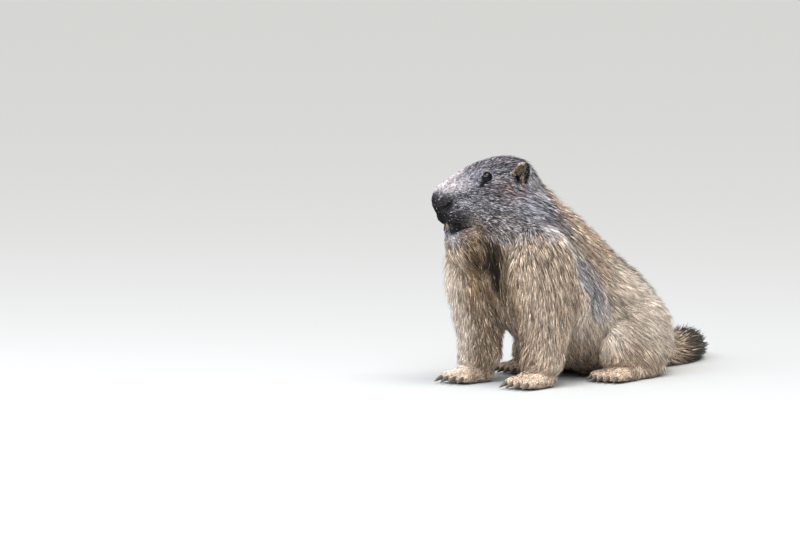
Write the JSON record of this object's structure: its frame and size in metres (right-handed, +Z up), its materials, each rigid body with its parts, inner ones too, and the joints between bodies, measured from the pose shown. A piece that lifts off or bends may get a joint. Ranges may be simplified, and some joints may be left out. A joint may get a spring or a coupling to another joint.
{
  "type": "alpine marmot",
  "caption": "Life-size still model of an alpine marmot sitting on its haunches with straight forelegs and its head turned to one side, in a grizzled coat of locks.",
  "frame": {"origin": "under the middle of the animal's box, at the level of the floor that it sits on", "axes": "+Z up, -Y the way the body faces, +X the animal's left; the head is turned towards its right"},
  "size_m": [0.1766, 0.4576, 0.2446],
  "materials": {
    "coat_body": "matte fur, tan and cream with grey",
    "coat_head": "matte short fur, grizzled grey",
    "coat_ear": "matte very short fur",
    "coat_dark": "matte fur, blackish brown",
    "nose_skin": "bare fine-grained skin",
    "eye": "wet gloss",
    "claw": "satin horn",
    "tooth_enamel": "smooth enamel"
  },
  "bodies": {
    "root": {"head": "coat_head", "neck": "coat_body", "torso": "coat_body", "tail": "coat_body", "tail_tip": "coat_dark", "nose": "nose_skin", "incisors": "tooth_enamel", "ear_left": "coat_ear", "ear_right": "coat_ear", "eye_left": "eye", "eye_right": "eye", "foreleg_left": "coat_body", "forepaw_left": "coat_body", "haunch_left": "coat_body", "hindfoot_left": "coat_body", "foreleg_right": "coat_body", "forepaw_right": "coat_body", "haunch_right": "coat_body", "hindfoot_right": "coat_body", "claw_fore_left_1": "claw", "claw_fore_left_2": "claw", "claw_fore_left_3": "claw", "claw_fore_left_4": "claw", "claw_hind_left_1": "claw", "claw_hind_left_2": "claw", "claw_hind_left_3": "claw", "claw_hind_left_4": "claw", "claw_hind_left_5": "claw", "claw_fore_right_1": "claw", "claw_fore_right_2": "claw", "claw_fore_right_3": "claw", "claw_fore_right_4": "claw", "claw_hind_right_1": "claw", "claw_hind_right_2": "claw", "claw_hind_right_3": "claw", "claw_hind_right_4": "claw", "claw_hind_right_5": "claw"}
  },
  "joints": []
}
